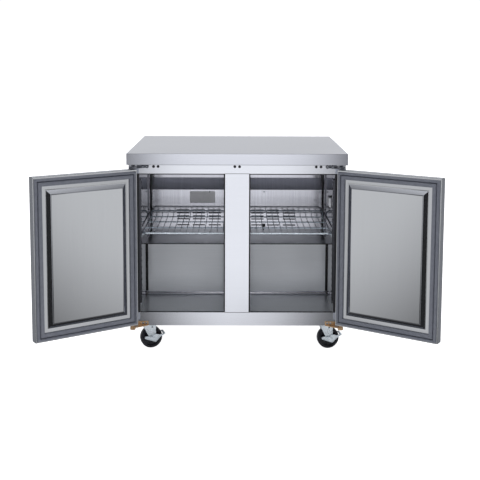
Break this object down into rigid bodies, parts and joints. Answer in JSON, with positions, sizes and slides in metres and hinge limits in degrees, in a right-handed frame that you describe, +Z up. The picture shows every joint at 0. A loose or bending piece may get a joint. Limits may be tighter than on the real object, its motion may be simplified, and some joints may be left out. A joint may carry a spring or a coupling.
{
  "type": "undercounter refrigerator",
  "caption": "Undercounter refrigerator with hinged doors open, wire shelves, a bulkhead over the rear machinery and swivel casters.",
  "frame": {"origin": "centre of the footprint of the whole object with its doors open as at rest, on the floor", "axes": "+X to the right of a person facing the doors, +Y to the back, +Z up"},
  "size_m": [1.6406, 0.9758, 0.877],
  "materials": {
    "brushed_stainless": "brushed stainless sheet",
    "polished_stainless": "near-mirror stainless sheet",
    "interior_aluminium": "satin sheet",
    "galvanised_sheet": "galvanised sheet",
    "zinc_plate": "bright zinc plating",
    "wheel_black": "hard black rubber",
    "coated_wire": "epoxy-coated wire",
    "foam": "rigid polyurethane foam",
    "gasket_rubber": "dark grey ribbed vinyl",
    "fin_metal": "fin stock",
    "black_paint": "satin black",
    "black_plastic": "moulded plastic"
  },
  "bodies": {
    "cabinet": {"base_pan": "galvanised_sheet", "bottom_hinge_left": "zinc_plate", "bottom_hinge_right": "zinc_plate", "bottom_rail": "brushed_stainless", "caster_front_left_plate": "zinc_plate", "caster_front_right_plate": "zinc_plate", "caster_rear_left_plate": "zinc_plate", "caster_rear_right_plate": "zinc_plate", "center_mullion": "brushed_stainless", "compressor": "black_paint", "compressor_bulkhead": "interior_aluminium", "condenser_coil": "fin_metal", "condenser_motor": "black_plastic", "condensing_tray": "galvanised_sheet", "control_box": "black_plastic", "evaporator_coil": "fin_metal", "evaporator_cover": "polished_stainless", "evaporator_motor": "black_plastic", "insulation": "foam", "liner_back": "interior_aluminium", "liner_ceiling": "interior_aluminium", "liner_floor": "interior_aluminium", "liner_left": "polished_stainless", "liner_right": "polished_stainless", "rear_grille": "galvanised_sheet", "rear_panel": "galvanised_sheet", "shelf_standard_left_front": "polished_stainless", "shelf_standard_left_rear": "polished_stainless", "shelf_standard_right_front": "polished_stainless", "shelf_standard_right_rear": "polished_stainless", "side_panel_left": "brushed_stainless", "side_panel_right": "brushed_stainless", "top_hinge_left": "zinc_plate", "top_hinge_right": "zinc_plate", "top_rail": "brushed_stainless", "worktop": "brushed_stainless", "worktop_core": "foam"},
    "door_left": {"door_left_pan": "brushed_stainless", "door_left_core": "foam", "door_left_liner": "interior_aluminium", "door_left_gasket": "gasket_rubber"},
    "door_right": {"door_right_pan": "brushed_stainless", "door_right_core": "foam", "door_right_liner": "interior_aluminium", "door_right_gasket": "gasket_rubber"},
    "shelf_left": {"shelf_left": "coated_wire"},
    "shelf_right": {"shelf_right": "coated_wire"},
    "caster_front_left": {"caster_front_left_fork": "zinc_plate"},
    "wheel_front_left": {"caster_front_left_wheel": "wheel_black"},
    "brake_front_left": {"caster_front_left_pedal": "zinc_plate"},
    "caster_front_right": {"caster_front_right_fork": "zinc_plate"},
    "wheel_front_right": {"caster_front_right_wheel": "wheel_black"},
    "brake_front_right": {"caster_front_right_pedal": "zinc_plate"},
    "caster_rear_left": {"caster_rear_left_fork": "zinc_plate"},
    "wheel_rear_left": {"caster_rear_left_wheel": "wheel_black"},
    "caster_rear_right": {"caster_rear_right_fork": "zinc_plate"},
    "wheel_rear_right": {"caster_rear_right_wheel": "wheel_black"},
    "evaporator_fan": {"evaporator_fan": "black_plastic"},
    "condenser_fan": {"condenser_fan": "galvanised_sheet"},
    "power_switch": {"power_switch": "black_plastic"}
  },
  "joints": [
    {"name": "door_left_hinge", "type": "hinge", "parent": "cabinet", "child": "door_left", "pos_m": [-0.443, -0.23106, 0.473], "axis": [0, 0, 1], "range_deg": [0, 147.3]},
    {"name": "door_right_hinge", "type": "hinge", "parent": "cabinet", "child": "door_right", "pos_m": [0.443, -0.23106, 0.473], "axis": [0, 0, -1], "range_deg": [0, 147.3]},
    {"name": "shelf_left_lift", "type": "slide", "parent": "cabinet", "child": "shelf_left", "axis": [0, 0, 1], "range_m": [0, 0.16]},
    {"name": "shelf_right_lift", "type": "slide", "parent": "cabinet", "child": "shelf_right", "axis": [0, 0, 1], "range_m": [0, 0.16]},
    {"name": "caster_front_left_swivel", "type": "hinge", "parent": "cabinet", "child": "caster_front_left", "pos_m": [-0.389, -0.11706, 0.11], "axis": [0, 0, 1], "continuous": true},
    {"name": "wheel_front_left_spin", "type": "hinge", "parent": "caster_front_left", "child": "wheel_front_left", "pos_m": [-0.37711, -0.11319, 0.048], "axis": [-0.309, 0.9511, 0], "continuous": true},
    {"name": "brake_front_left_press", "type": "hinge", "parent": "caster_front_left", "child": "brake_front_left", "pos_m": [-0.37711, -0.11319, 0.048], "axis": [-0.309, 0.9511, 0], "range_deg": [0, 20]},
    {"name": "caster_front_right_swivel", "type": "hinge", "parent": "cabinet", "child": "caster_front_right", "pos_m": [0.389, -0.11706, 0.11], "axis": [0, 0, 1], "continuous": true},
    {"name": "wheel_front_right_spin", "type": "hinge", "parent": "caster_front_right", "child": "wheel_front_right", "pos_m": [0.40135, -0.1151, 0.048], "axis": [-0.1564, 0.9877, 0], "continuous": true},
    {"name": "brake_front_right_press", "type": "hinge", "parent": "caster_front_right", "child": "brake_front_right", "pos_m": [0.40135, -0.1151, 0.048], "axis": [-0.1564, 0.9877, 0], "range_deg": [0, 20]},
    {"name": "caster_rear_left_swivel", "type": "hinge", "parent": "cabinet", "child": "caster_rear_left", "pos_m": [-0.389, 0.39094, 0.11], "axis": [0, 0, 1], "continuous": true},
    {"name": "wheel_rear_left_spin", "type": "hinge", "parent": "caster_rear_left", "child": "wheel_rear_left", "pos_m": [-0.37677, 0.39354, 0.048], "axis": [-0.2079, 0.9781, 0], "continuous": true},
    {"name": "caster_rear_right_swivel", "type": "hinge", "parent": "cabinet", "child": "caster_rear_right", "pos_m": [0.389, 0.39094, 0.11], "axis": [0, 0, 1], "continuous": true},
    {"name": "wheel_rear_right_spin", "type": "hinge", "parent": "caster_rear_right", "child": "wheel_rear_right", "pos_m": [0.40107, 0.39418, 0.048], "axis": [-0.2588, 0.9659, 0], "continuous": true},
    {"name": "evaporator_fan_spin", "type": "hinge", "parent": "cabinet", "child": "evaporator_fan", "pos_m": [0, 0.29694, 0.53], "axis": [0, 1, 0], "continuous": true},
    {"name": "condenser_fan_spin", "type": "hinge", "parent": "cabinet", "child": "condenser_fan", "pos_m": [0.2, 0.30094, 0.245], "axis": [0, 1, 0], "continuous": true},
    {"name": "power_switch_rock", "type": "hinge", "parent": "cabinet", "child": "power_switch", "pos_m": [-0.039, 0.47144, 0.27], "axis": [1, 0, 0], "range_deg": [-14, 0]}
  ]
}
